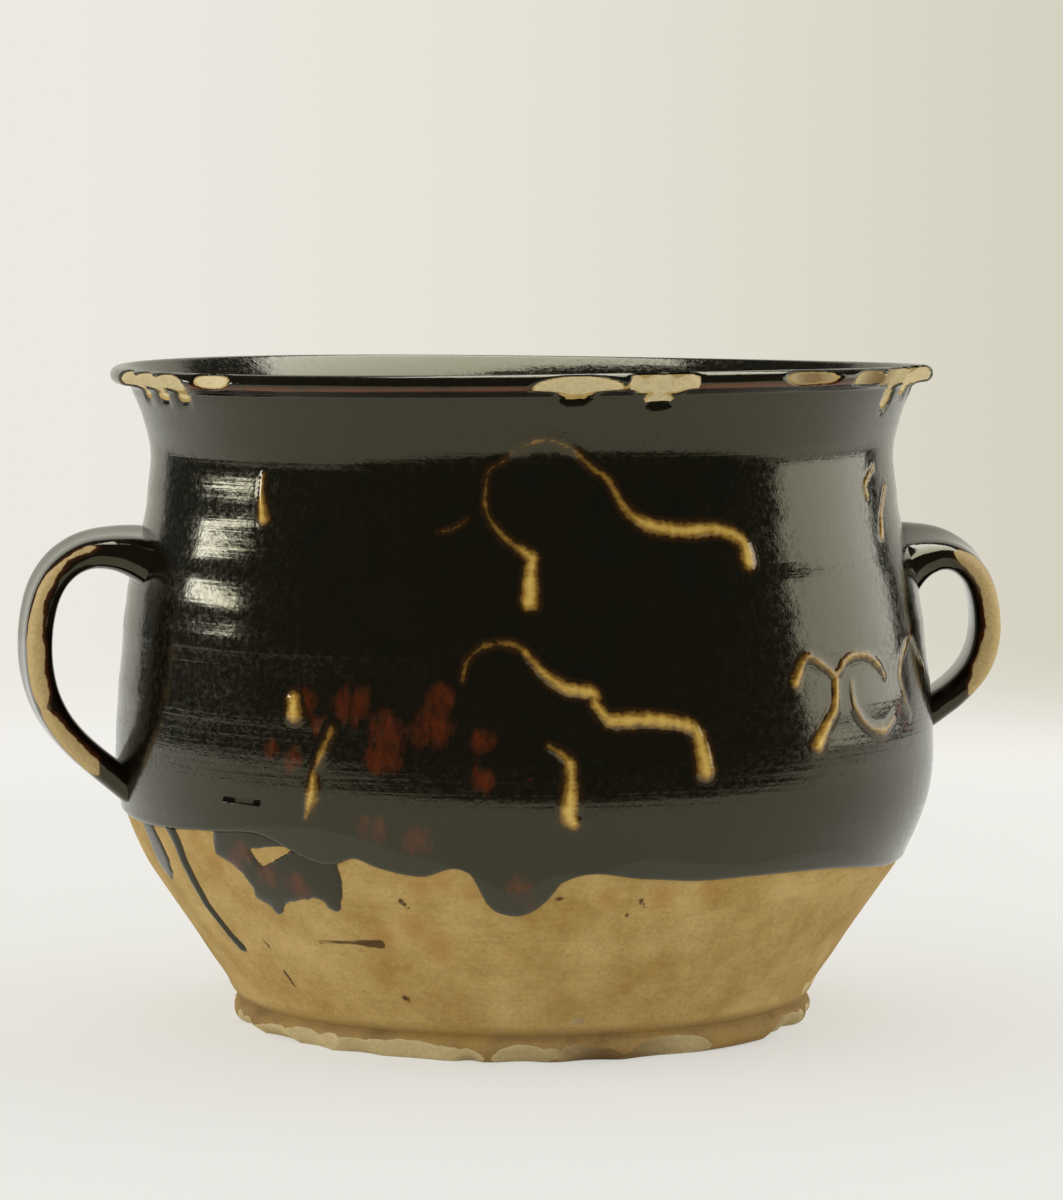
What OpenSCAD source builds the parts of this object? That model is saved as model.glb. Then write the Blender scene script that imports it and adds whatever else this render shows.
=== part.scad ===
// Two-handled posset pot: a thrown earthenware pot with two luted strap handles,
// a dark coat inside and out, and light slip trailed over the coat.
// Heights start at the resting face. Azimuths start at the front, -Y, and run towards +X.

/* [Pot] */
// Height of the clay from the resting face to the crest of the rim
pot_h = 167.5; // [160:0.5:185]
// Diameter of the clay over the edge of the rim
rim_d = 209; // [200:1:225]
// Thickness of the rolled rim
rim_t = 3.4; // [2.6:0.2:5]
// How far the neck, the narrowest place below the rim, draws in from the rim's edge
neck_in = 10; // [6:0.5:16]
// Height from the neck up to the crest of the rim
neck_drop = 21.5; // [18:0.5:28]
// How far the wall flares out between the neck and the rim
neck_flare = 4.6; // [2:0.2:6]
// Diameter of the clay at the belly
belly_d = 209; // [200:1:224]
// Height of the belly
belly_z = 71; // [62:1:80]
// Diameter over the bead round the foot
foot_d = 149; // [136:1:160]
// Height of the bead round the foot
foot_bead_h = 6.8; // [4:0.2:9]
// How far the bead stands out past the face that the pot rests on
foot_bead_out = 4; // [2:0.2:6]
// Depth of the groove above the bead
foot_groove = 2; // [0.6:0.2:3]
// Thickness of the wall
wall = 5; // [4:0.2:7]
// Thickness of the floor
floor_t = 8; // [6:0.5:12]
// Radius of the corner between the floor and the wall inside
floor_corner = 12; // [6:1:18]

/* [Handles] */
// Width of the straps
strap_w = 24; // [18:1:28]
// Thickness of the straps
strap_t = 7.6; // [6:0.2:9]
// Width of the upper root, where a strap spreads on to the wall
root_w = 33; // [28:1:38]
// Thickness of the upper root
root_t = 14; // [10:0.5:17]
// Width of the lower root
tail_w = 22; // [18:1:28]
// Thickness of the lower root
tail_t = 9; // [7:0.5:12]
// How far each handle sits forward of the side
handle_forward = 4; // [0:1:10]
// How far the straps rise from their upper roots
handle_rise = 7; // [3:0.5:10]
// Height of the left handle's upper root
left_root_z = 120; // [112:1:126]
// Height of the left handle's outermost point
left_out_z = 98; // [92:1:104]
// Height of the left handle's lower root
left_tail_z = 61; // [54:1:68]
// Reach of the left handle from the axis, at its outer face
left_reach = 129; // [124:0.5:136]
// Height of the right handle's upper root
right_root_z = 118; // [112:1:126]
// Height of the right handle's outermost point
right_out_z = 101; // [94:1:106]
// Height of the right handle's lower root
right_tail_z = 76; // [66:1:80]
// Reach of the right handle from the axis, at its outer face
right_reach = 124; // [121:0.5:132]

/* [Dark coat] */
// Thickness of the dark coat
coat_t = 0.5; // [0.3:0.1:0.9]
// Height of the coat's lower edge, at the axis
coat_edge_z = 50; // [42:1:58]
// Slope of the coat's lower edge, down towards +X
coat_edge_slope = 3; // [0:0.5:5]
// Thickness of the runs below the edge
run_t = 0.9; // [0.5:0.1:1.5]

/* [Trailed slip] */
// Width of a trail
trail_w = 4; // [2.5:0.5:6]
// Width of a run or a drop of slip
drip_w = 5; // [3:0.5:7]
// Height of a trail above the coat
trail_t = 0.8; // [0.4:0.1:1.5]
// Steps of the trails' drawing from the belly up to the neck
drawing_steps = 75; // [68:1:90]
// Steps from the belly up to the middle of the upper trails
upper_trail_steps = 67; // [62:1:69]
// Steps from the belly up to the middle of the lower trails
lower_trail_steps = 17; // [13:1:22]
// Azimuth of the middle of the front trails
trail_turn = -8; // [-20:1:20]

/* [Wear] */
// Depth of the chips in the rim
rim_chip_depth = 2.2; // [1:0.2:2.8]
// Depth of the chips in the foot
foot_chip_depth = 2.4; // [1:0.2:3]

/* [Hidden] */
$fn = 96;

clay_colour = "#b0925c";
coat_colour = "#1c1a13";
slip_colour = "#c99f4c";

foot_r = foot_d / 2;
rest_r = foot_r - foot_bead_out;
groove_r = foot_r - foot_groove;
belly_r = belly_d / 2;
neck_r = rim_d / 2 - neck_in;
neck_z = pot_h - neck_drop;
trail_step = (neck_z - belly_z) / drawing_steps;
upper_trail_z = belly_z + upper_trail_steps * trail_step;
lower_trail_z = belly_z + lower_trail_steps * trail_step;

// The rolled rim is round in section, with its centre at [lip_r, lip_z]
bead_r = rim_t / 2;
lip_r = rim_d / 2 - bead_r;
lip_z = pot_h - bead_r;
// The hollow under the rim ends on the flare, this far below the rim's centre
under_lip = 3.8;
flare_top_z = lip_z - under_lip;
flare_top_r = neck_r + neck_flare;
// The wall inside leans away from the rim over this height
inner_lip_h = 6;

// Radius of the clay's outer face, from the groove above the foot up to the hollow under the rim
function outer_r(z) =
    z < belly_z ? lower_r((z - foot_bead_h) / (belly_z - foot_bead_h))
    : z < neck_z ? upper_r((z - belly_z) / (neck_z - belly_z))
    : neck_r + neck_flare * pow((z - neck_z) / (flare_top_z - neck_z), 1.3);

// Foot to belly, with u from 0 to 1: nearly straight at first, then rounding into the belly
function lower_r(u) = groove_r + (belly_r - groove_r) * pow(1 - pow(1 - max(u, 0), 2), 1.3);

// Belly to neck, with u from 0 to 1: a long S that stays full and then draws in
function upper_r(u) = neck_r + (belly_r - neck_r) * (0.5 + 0.5 * cos(180 * pow(u, 1.25)));

// Slope of the outer face at a height, as change of radius per millimetre of height
function slope(z) = outer_r(z + 0.5) - outer_r(z - 0.5);

// Radius of the inner face, at the wall's thickness from the outer one
function inner_r(z) = outer_r(z) - wall * norm([1, slope(z)]) - corner_r(z);

// What the rounded corner at the floor takes off the inner radius
function corner_r(z) =
    let (u = min(1, (z - floor_t) / floor_corner))
    floor_corner * (1 - sqrt(1 - (1 - u) * (1 - u)));

// The outer face from a height up to the crest, moved out by a thickness
wall_step = 4;
function outer_path(from_z, t) = concat(
    [for (z = [foot_bead_h : wall_step : flare_top_z - 2]) if (z >= from_z) [outer_r(z) + t, z]],
    [for (a = [0 : 30 : 90])
        [lip_r - (lip_r - flare_top_r - t) * cos(a),
         flare_top_z + (lip_z - bead_r - t - flare_top_z) * sin(a)]],
    [for (a = [-60 : 30 : 90]) [lip_r, lip_z] + (bead_r + t) * [cos(a), sin(a)]]);

// The inner face from the crest down to the middle of the floor, moved in by a thickness
function inner_path(t) = concat(
    [for (a = [90 : 25 : 140]) [lip_r, lip_z] + (bead_r + t) * [cos(a), sin(a)]],
    [for (z = [lip_z - inner_lip_h : -5 : floor_t + floor_corner]) [inner_r(z) - t, z]],
    [for (k = [8 : -1 : 0])
        let (z = floor_t + floor_corner * pow(k / 8, 2))
        [inner_r(z) - t, z + t * (1 - k / 8)]],
    [[0, floor_t + t]]);

function reversed(p) = [for (i = [len(p) - 1 : -1 : 0]) p[i]];

// The bead round the foot, from the resting face up to the groove
foot_bead = [for (a = [-90 : 15 : 60])
    [rest_r + foot_bead_out * cos(a), foot_bead_h / 2 * (1 + sin(a))]];

// A smooth line through points of any size, with some steps from each point to the next
function between(p, i, t) =
    let (last = len(p) - 1,
         a = p[max(i - 1, 0)], b = p[i], c = p[i + 1], d = p[min(i + 2, last)])
    0.5 * (2 * b + (c - a) * t + (2 * a - 5 * b + 4 * c - d) * t * t
        + (3 * b - a - 3 * c + d) * t * t * t);
function smooth(p, steps) = concat(
    [for (i = [0 : len(p) - 2], k = [0 : steps - 1]) between(p, i, k / steps)],
    [p[len(p) - 1]]);

// A point of a cubic curve with four control points
function cubic(p, t) =
    pow(1 - t, 3) * p[0] + 3 * pow(1 - t, 2) * t * p[1]
    + 3 * (1 - t) * t * t * p[2] + t * t * t * p[3];

function unit(v) = v / norm(v);

// A solid through a row of rings that all have the same number of points
module skin(rings) {
    n = len(rings[0]);
    last = len(rings) - 1;
    polyhedron(
        points = [for (ring = rings) each ring],
        faces = concat(
            [[for (k = [0 : n - 1]) k]],
            [for (i = [0 : last - 1], k = [0 : n - 1]) each [
                [i * n + k, (i + 1) * n + k, (i + 1) * n + (k + 1) % n],
                [i * n + k, (i + 1) * n + (k + 1) % n, i * n + (k + 1) % n]]],
            [[for (k = [n - 1 : -1 : 0]) last * n + k]]));
}

// Everything inside the clay's outer face, to cut what seats against the pot
module pot_form() {
    rotate_extrude()
        polygon(concat([[0, 0]], foot_bead, outer_path(foot_bead_h, 0), [[0, pot_h]]));
}

// Chips, as [azimuth, height above the rim's centre or the resting face, length]
rim_chips = [[-65, 0, 24], [-53, 1, 8], [-1, -0.5, 20], [11, -1, 18], [33, 1, 11], [50, 0, 26],
    [140, 1, 12], [-150, 0, 9]];
foot_chips = [[-55, 0, 16], [-30, 0, 20], [-8, 0, 12], [22, 0, 22], [58, 1, 18], [160, 0, 14],
    [-120, 0, 12]];

// Ball-shaped cutters that each take a shell-shaped flake of a length and a depth off an edge
module flakes(chips, edge_r, edge_z, depth) {
    for (c = chips) {
        ball_r = (c[2] * c[2] / 4 + depth * depth) / (2 * depth);
        rotate([0, 0, c[0]])
            translate([0, -(edge_r + ball_r - depth), edge_z + c[1]])
                sphere(r = ball_r);
    }
}
module rim_flakes() {
    flakes(rim_chips, rim_d / 2 + coat_t, lip_z, rim_chip_depth);
}
module foot_flakes() {
    flakes(foot_chips, foot_r, foot_bead_h / 4, foot_chip_depth);
}

module pot_body() {
    color(clay_colour)
        difference() {
            rotate_extrude()
                polygon(concat([[0, 0]], foot_bead, outer_path(foot_bead_h, 0), inner_path(0)));
            rim_flakes();
            foot_flakes();
        }
}

// The coat over the outside ends along a sloping line above the bare foot
coat_low_z = coat_edge_z - belly_r * tan(coat_edge_slope);
module outer_coat() {
    color(coat_colour)
        difference() {
            rotate_extrude()
                polygon(concat(outer_path(coat_low_z, coat_t), reversed(outer_path(coat_low_z, 0))));
            translate([0, 0, coat_edge_z])
                rotate([0, coat_edge_slope, 0])
                    translate([0, 0, -pot_h])
                        cylinder(r = pot_h, h = pot_h);
            rim_flakes();
            left_strap();
            right_strap();
        }
}

module inner_coat() {
    color(coat_colour)
        difference() {
            rotate_extrude()
                polygon(concat(inner_path(coat_t), reversed(inner_path(0))));
            rim_flakes();
        }
}

// Centre line of a strap as [reach, height], in two curves that meet at the outermost point
function strap_line(root_z, out_z, tail_z, reach) =
    let (root = [outer_r(root_z) - wall / 2, root_z],
         out = [reach - strap_t / 2, out_z],
         tail = [outer_r(tail_z) - wall / 2, tail_z],
         upper = [root, root + [0.64 * (out[0] - root[0]), handle_rise],
             out + [0, 0.9 * (root_z - out_z)], out],
         lower = [out, out - [0, 0.53 * (out_z - tail_z)],
             tail + [0.54 * (out[0] - tail[0]), 0.29 * (out_z - tail_z)], tail])
    concat([for (t = [0 : 0.1 : 0.9]) cubic(upper, t)], [for (t = [0 : 0.1 : 1]) cubic(lower, t)]);

// How far a place u along a strap, from 0 to 1, has spread into its root or its tail
function root_spread(u) = pow(max(0, 1 - u / 0.3), 2);
function tail_spread(u) = pow(max(0, 1 - (1 - u) / 0.3), 2);

// One corner-rounded section of a strap, across the line and in its plane
section_points = 12;
function rounded(v) = sign(v) * pow(abs(v), 0.6);
function strap_ring(line, i) =
    let (last = len(line) - 1, u = i / last,
         along = unit(line[min(i + 1, last)] - line[max(i - 1, 0)]),
         across = strap_w + (root_w - strap_w) * root_spread(u) + (tail_w - strap_w) * tail_spread(u),
         deep = strap_t + (root_t - strap_t) * root_spread(u) + (tail_t - strap_t) * tail_spread(u))
    [for (k = [0 : section_points - 1])
        let (a = 360 * (k + 0.5) / section_points,
             out = deep / 2 * rounded(sin(a)),
             reach = line[i][0] - out * along[1],
             up = line[i][1] + out * along[0])
        [reach, across / 2 * rounded(cos(a)), up]];

// A strap with its ends in the wall, in the plane of the side that it is turned to
module strap(root_z, out_z, tail_z, reach) {
    line = strap_line(root_z, out_z, tail_z, reach);
    skin([for (i = [0 : len(line) - 1]) strap_ring(line, i)]);
}
module left_strap() {
    rotate([0, 0, 180 + handle_forward])
        strap(left_root_z, left_out_z, left_tail_z, left_reach);
}
module right_strap() {
    rotate([0, 0, -handle_forward])
        strap(right_root_z, right_out_z, right_tail_z, right_reach);
}

// The handles are luted on to the clay
module left_handle() {
    color(coat_colour)
        difference() {
            left_strap();
            pot_form();
        }
}
module right_handle() {
    color(coat_colour)
        difference() {
            right_strap();
            pot_form();
        }
}

// Section of a trail or run, as [share of the half width, share of the height]
trail_section = [[-1, 0], [-0.8, 0.6], [-0.3, 1], [0.3, 1], [0.8, 0.6], [1, 0]];

// How full a trail is near its rounded ends
function fullness(i, last) =
    let (from_end = min(i, last - i))
    from_end == 0 ? 0.35 : from_end == 1 ? 0.8 : 1;

// Place on a face that stands a thickness above the clay
function on_wall(azimuth, z, t) =
    let (r = outer_r(z) + t)
    [r * sin(azimuth), -r * cos(azimuth), z];

function trail_ring(line, i, t, high) =
    let (last = len(line) - 1, p = line[i], q = line[min(i + 1, last)], o = line[max(i - 1, 0)],
         out = unit([sin(p[0]), -cos(p[0]), -slope(p[1])]),
         along = unit(on_wall(q[0], q[1], t) - on_wall(o[0], o[1], t)),
         side = unit(cross(out, along)))
    [for (s = trail_section)
        on_wall(p[0], p[1], t) + fullness(i, last) * (p[2] / 2 * s[0] * side + high * s[1] * out)];

// A trail through points [azimuth, height, width], laid on a face t above the clay
module trail(points, t, high) {
    line = smooth(points, 4);
    skin([for (i = [0 : len(line) - 1]) trail_ring(line, i, t, high)]);
}

// Slip on the coat: points as [azimuth from the middle of the trails, steps from a middle height]
module slip(points, middle_z, turn, width) {
    color(slip_colour)
        trail([for (p = points) [p[0] + turn, p[1] * trail_step + middle_z, width]], coat_t, trail_t);
}

swag_high = [[2, -13.5], [-3, -7.5], [-5, -2], [-4.5, 6], [0, 12.5], [3.5, 14.5], [7, 12.5],
    [12.5, 4.5], [16, -4], [24, -7.5], [29, -7], [33, -11], [33.5, -16]];
swag_low = [[-8, 8.5], [-6.5, 14.5], [-3, 17], [1, 13], [5, 7], [9, 5.5], [10.5, 0.5], [14, -1],
    [19, -1.5], [23, -5], [24, -14]];
scroll = [[39, 5.5], [41, 11], [44, 10], [47, 6.5], [50, 10.5], [54, 11], [59, 5], [60, 1]];

module upper_swag() { slip(swag_high, upper_trail_z, trail_turn, trail_w); }
module upper_swag_drip() { slip([[2.3, -17], [1.5, -20], [1.5, -24]], upper_trail_z, trail_turn, drip_w); }
module upper_dash() { slip([[-12, -7.5], [-7.5, -4]], upper_trail_z, trail_turn, trail_w); }
module lower_swag() { slip(swag_low, lower_trail_z, trail_turn, trail_w); }
module centre_drip() {
    slip([[3.5, -7], [5.5, -11], [6, -17], [6.5, -25]], lower_trail_z, trail_turn, drip_w);
}
module left_drop() { slip([[-40.5, 5], [-40, -5.5]], upper_trail_z, trail_turn, trail_w); }
module left_spot() { slip([[-32, 3], [-31.5, -2.5]], lower_trail_z, trail_turn, drip_w); }
module left_streak() {
    slip([[-26, -4], [-27.5, -11], [-28.5, -18], [-29.5, -25]], lower_trail_z, trail_turn, trail_w);
}
module right_scroll() { slip(scroll, lower_trail_z, trail_turn, trail_w); }
module scroll_drip() { slip([[46.5, 2], [45.5, -3], [42.5, -9.5]], lower_trail_z, trail_turn, drip_w); }
module right_loop() {
    slip([[49.5, 1], [51.5, -3.5], [54, -7.5], [57.5, -8.5], [60.5, -5]],
        lower_trail_z, trail_turn, trail_w);
}
module right_oval() {
    slip([[67, -6], [64.5, -1], [64.5, 6], [68.5, 12], [72, 9], [75, 2]],
        lower_trail_z, trail_turn, trail_w);
}
module right_drops() {
    slip([[66, 5], [62.5, 1.5], [62.5, -2]], upper_trail_z, trail_turn, trail_w);
    slip([[71.5, 1], [68.5, -4.5], [67, -12]], upper_trail_z, trail_turn, trail_w);
}

// The same ornament goes on round the back, with its drips in other places
back_turn = trail_turn + 180;
module back_upper_swag() { slip(swag_high, upper_trail_z, back_turn, trail_w); }
module back_lower_swag() { slip(swag_low, lower_trail_z, back_turn, trail_w); }
module back_scroll() { slip(scroll, lower_trail_z, back_turn, trail_w); }
module back_drops() {
    slip([[-34, 4], [-33, -6]], upper_trail_z, back_turn, drip_w);
    slip([[-22, -2], [-23, -12]], lower_trail_z, back_turn, drip_w);
    slip([[42, -6], [41.5, -15]], lower_trail_z, back_turn, drip_w);
}

// Runs of the coat on the bare clay: points as [azimuth, height below the coat's edge, width]
function edge_z(azimuth) = coat_edge_z - belly_r * sin(azimuth) * tan(coat_edge_slope);
module run(points) {
    color(coat_colour)
        trail([for (p = points) [p[0], edge_z(p[0]) - p[1], p[2]]], 0, run_t);
}
module left_run() { run([[-64, 1.5, 4], [-64, 10, 3.5], [-63, 20, 3], [-62, 28, 3]]); }
module left_splash() { run([[-47, 1.5, 12], [-46.5, 8, 13], [-42, 12.5, 14], [-36, 13, 9]]); }
module front_droop() { run([[-9, 1.5, 20], [-9, 6, 14], [-9, 10, 8]]); }
module back_droop() { run([[165, 1.5, 16], [166, 7, 11], [167, 13, 6]]); }

pot_body();
outer_coat();
inner_coat();
left_handle();
right_handle();
left_run();
left_splash();
front_droop();
back_droop();
upper_swag();
upper_swag_drip();
upper_dash();
lower_swag();
centre_drip();
left_drop();
left_spot();
left_streak();
right_scroll();
scroll_drip();
right_loop();
right_oval();
right_drops();
back_upper_swag();
back_lower_swag();
back_scroll();
back_drops();
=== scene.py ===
import bpy
import numpy as np
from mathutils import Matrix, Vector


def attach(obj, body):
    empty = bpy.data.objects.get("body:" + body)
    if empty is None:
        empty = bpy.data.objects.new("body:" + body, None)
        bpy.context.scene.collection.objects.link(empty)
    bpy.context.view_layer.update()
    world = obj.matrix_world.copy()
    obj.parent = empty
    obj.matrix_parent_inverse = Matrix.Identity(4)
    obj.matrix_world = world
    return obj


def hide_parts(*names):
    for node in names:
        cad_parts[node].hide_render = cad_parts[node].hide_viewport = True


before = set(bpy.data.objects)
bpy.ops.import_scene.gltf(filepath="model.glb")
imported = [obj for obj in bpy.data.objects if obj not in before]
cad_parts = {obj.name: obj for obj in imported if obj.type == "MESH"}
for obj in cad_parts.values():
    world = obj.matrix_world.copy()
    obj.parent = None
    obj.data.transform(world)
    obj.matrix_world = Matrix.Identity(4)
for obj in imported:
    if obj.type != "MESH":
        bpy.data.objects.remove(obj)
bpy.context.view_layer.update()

# The pot body: one piece of buff earthenware, thrown on a wheel, with a rolled rim, a drawn-in neck, a full
# belly and a beaded foot. It is fired bare below the coat, and its rim and foot are chipped. Lengths are in
# millimetres; azimuths are in degrees from the front, -Y, towards +X; heights are above the resting face.
wall_z = np.array([6.8, 8, 12, 18, 24, 30, 36, 42, 48, 54, 60, 66, 72, 80, 88, 96, 104, 112, 120, 128, 134,
                   140, 145, 149, 153, 157, 160, 162.0])
wall_r = np.array([72.9, 74.2, 76.4, 80.5, 84.4, 88.5, 92.6, 96.6, 99.6, 102, 103.7, 104.3, 104.4, 104,
                   103.4, 102.5, 101.6, 100.2, 98.4, 96.7, 95.5, 94.8, 94.5, 94.9, 95.9, 97.1, 98.3, 99.1])
rest_r = 70.5
bead_out = 4.0
bead_half = 3.4
lip_r = 102.8
lip_z = 165.8
lip_bead = 1.7
hollow_r = 99.1
hollow_z = 162.0
wall_thick = 5.0
floor_thick = 8.0
floor_corner = 12.0
columns = 640


def through(x, xs, ys):
    """Cubic through the points (xs, ys), with the slope at each point taken from its neighbours."""
    slope = np.gradient(ys, xs)
    i = np.clip(np.searchsorted(xs, x, side="right") - 1, 0, len(xs) - 2)
    step = xs[i + 1] - xs[i]
    t = (x - xs[i]) / step
    near = (2 * t**3 - 3 * t**2 + 1) * ys[i] + (t**3 - 2 * t**2 + t) * step * slope[i]
    far = (3 * t**2 - 2 * t**3) * ys[i + 1] + (t**3 - t**2) * step * slope[i + 1]
    return near + far


def outer_r(z):
    """Radius of the clay's outer face at a height."""
    return through(np.asarray(z, float), wall_z, wall_r)


def inner_r(z):
    """Radius of the inner face: the wall's thickness in from the outer face, square to it, and less the
    rounded corner at the floor."""
    slope = outer_r(z + 0.5) - outer_r(z - 0.5)
    near_floor = 1 - np.clip((z - floor_thick) / floor_corner, 0, 1)
    corner = floor_corner * (1 - np.sqrt(1 - near_floor**2))
    return outer_r(z) - wall_thick * np.hypot(1, slope) - corner


def ring_part(centre_r, centre_z, across, up, start, end, count):
    """Points [r, z] on an arc of an ellipse, from one angle to another in degrees."""
    a = np.radians(np.linspace(start, end, count))
    return np.stack([centre_r + across * np.cos(a), centre_z + up * np.sin(a)], axis=1)


def wall_part(z):
    return np.stack([outer_r(z), z], axis=1)


def lip_part(count):
    """The outer face over the hollow under the rim and round the rolled rim, up to its crest."""
    hollow_up = lip_z - lip_bead - hollow_z
    under = ring_part(lip_r, hollow_z, hollow_r - lip_r, hollow_up, 0, 80, count // 2)
    return np.concatenate([under, ring_part(lip_r, lip_z, lip_bead, lip_bead, -75, 90, count)])


def inside_part(gap):
    """The inner face from just inside the crest down to the floor, short of its middle."""
    crest = ring_part(lip_r, lip_z, lip_bead, lip_bead, 100, 140, 4)
    z = np.arange(lip_z - 6, floor_thick + floor_corner, -gap)
    low_z = floor_thick + floor_corner * (np.arange(8, -1, -1) / 8) ** 2
    low = np.stack([inner_r(low_z), low_z], axis=1)
    centre_r = low[-1, 0] * np.array([0.8, 0.6, 0.4, 0.2])
    centre = np.stack([centre_r, np.full(4, floor_thick)], axis=1)
    return np.concatenate([crest, np.stack([inner_r(z), z], axis=1), low, centre])


def normals_of(line):
    """Unit normals [r, z] of a profile, on its right as it goes up, from the points on either side."""
    along = np.gradient(line, axis=0)
    along /= np.linalg.norm(along, axis=1)[:, None]
    return np.stack([along[:, 1], -along[:, 0]], axis=1)


def uneven(az, z, size, seed):
    """Smooth noise from -1 to 1 that closes round the pot: random values on a lattice of a size in mm,
    joined by smooth steps."""
    turns = int(round(630 / size))
    table = np.random.default_rng(seed).uniform(-1, 1, (int(220 / size) + 4, turns))
    u = (az % 360) / 360 * turns
    v = (z + 20) / size
    i = np.floor(u).astype(int) % turns
    j = np.clip(np.floor(v).astype(int), 0, len(table) - 2)
    fu = u - np.floor(u)
    fv = v - np.floor(v)
    fu = fu * fu * (3 - 2 * fu)
    fv = fv * fv * (3 - 2 * fv)
    k = (i + 1) % turns
    low = table[j, i] * (1 - fu) + table[j, k] * fu
    high = table[j + 1, i] * (1 - fu) + table[j + 1, k] * fu
    return low * (1 - fv) + high * fv


# The potter's fingers leave rings, given as how much the wall's slope departs from its profile at a height
ring_z = np.array([60, 66, 70, 75, 80, 85, 90, 95, 98, 102, 105, 107.5, 109.5, 111.5, 114, 117, 120.3,
                   123.3, 127, 130.3, 132.5, 136, 139, 143, 150.0])
ring_slope = np.array([0, .03, -.03, .03, -.02, .03, -.04, .02, .04, .05, -.045, .02, .1, 0, 0, -.02, -.13,
                       -.02, -.015, -.02, .09, .06, -.05, -.02, 0])
fine_z = np.arange(55, 156, 0.5)
ring_lift = np.cumsum(np.interp(fine_z, ring_z, ring_slope, 0, 0)) * 0.5
ring_lift -= np.interp(fine_z, [55, 156], [ring_lift[0], ring_lift[-1]])


def waviness(az, z):
    """How far the clay stands off its profile: finger rings, and slow unevenness that grows to the belly."""
    rings = np.interp(z, fine_z, ring_lift, 0, 0)
    slow = 0.22 * uneven(az, z, 45, 11) + 0.06 * uneven(az, z, 16, 12)
    return rings + slow * np.clip((z - 8) / 20, 0, 1) * np.clip((166 - z) / 8, 0, 1)


# Flakes knocked off the rim and the foot: azimuth, half length, depth at the edge, lean of the break, and
# the height where the break turns out to the surface again
rim_flakes = [(-77, 7, 3.4, .85, 162.6), (-70.5, 8, 3.3, .9, 162.4), (-64, 8, 3.1, .9, 162.2),
              (-53.5, 5, .8, -.28, 163), (-.5, 11, 3.25, .9, 163.1), (11.1, 8, 3.3, .9, 161.7),
              (8.7, 4.6, 3.9, .4, 163.4), (13.4, 5, 3.9, .4, 163.4), (34.2, 7.4, .7, -.1, 163),
              (47, 8, 2.0, .6, 163), (55, 9, 3, .7, 162), (58.5, 5, 4.2, .9, 160.4),
              (66, 13, 4.6, .4, 162), (73, 9, 4.3, .5, 162.4), (140, 6, 1.6, .3, 163),
              (-150, 5, 1.3, .2, 163)]
foot_flakes = [(-55, 8, 2.2, .9, -9), (-30, 10, 2.2, .8, -9), (-8, 6, 2, 1, -9), (22, 11, 2.3, .7, -9),
               (58, 9, 2.4, .9, -9), (160, 7, 2.2, .8, -9), (-120, 6, 2, .9, -9)]
flake_rng = np.random.default_rng(5)
foot_flakes += [(a, *flake_rng.uniform((2, 0.5, 0.1), (7, 1.7, 1.6)), -9)
                for a in flake_rng.uniform(-180, 180, 60)]


def break_r(az, z):
    """Radius of the broken faces at a place: the lowest of all flakes, each a plane that leans in
    downwards and bends away from the flake's middle."""
    lowest = np.full(np.shape(az), 1e3)
    for flakes, edge_r, edge_z in ((rim_flakes, lip_r + lip_bead + 0.1, 165.0),
                                   (foot_flakes, rest_r + bead_out + 0.1, bead_half)):
        near = np.abs(z - edge_z) < 9
        for middle, half, depth, lean, turn_out in flakes:
            x = ((az - middle + 180) % 360 - 180) * np.radians(edge_r)
            face = edge_r + lean * (z - edge_z) - depth * (1 - (x / half) ** 2)
            face = face + 0.6 * np.maximum(turn_out - z, 0) ** 2
            lowest = np.where(near, np.minimum(lowest, face), lowest)
    rough = 0.22 * uneven(az, z * 3, 3.1, 21) + 0.12 * uneven(az, z * 3, 1.3, 22)
    return lowest + rough


def settle(az, r, z):
    """Points in metres from azimuth, radius and height: the belly leans 0.8 mm to one side, and the rim
    is warped into a slight saddle."""
    lean = 0.8 * np.exp(-((z - 75) / 30) ** 2) * (z > 12)
    lift = 0.6 * np.sin(np.radians(2 * (az + 8))) * np.clip((z - 120) / 45, 0, 1) ** 2
    a = np.radians(az)
    side = np.radians(82)
    x = r * np.sin(a) + lean * np.sin(side)
    y = -r * np.cos(a) - lean * np.cos(side)
    return np.stack([x, y, z + lift], axis=-1).reshape(-1, 3) / 1000


def grid_faces(rows, across, closed):
    """Squares between neighbouring rows and columns of a grid, closed on itself across or not."""
    i, j = np.meshgrid(np.arange(rows - 1), np.arange(across if closed else across - 1), indexing="ij")
    k = (j + 1) % across
    square = [i * across + j, i * across + k, (i + 1) * across + k, (i + 1) * across + j]
    return np.stack(square, axis=-1).reshape(-1, 4)


def make_piece(name, points, faces, material, values=()):
    """A piece at the origin from points in metres, with float attributes and one material."""
    mesh = bpy.data.meshes.new(name)
    mesh.from_pydata(points.tolist(), [], faces)
    mesh.polygons.foreach_set("use_smooth", np.ones(len(mesh.polygons), bool))
    for key, value in dict(values).items():
        mesh.attributes.new(key, "FLOAT", "POINT").data.foreach_set("value", np.ravel(value).astype(np.float32))
    mesh.update()
    piece = bpy.data.objects.new(name, mesh)
    bpy.context.scene.collection.objects.link(piece)
    mesh.materials.append(material)
    return piece


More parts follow.
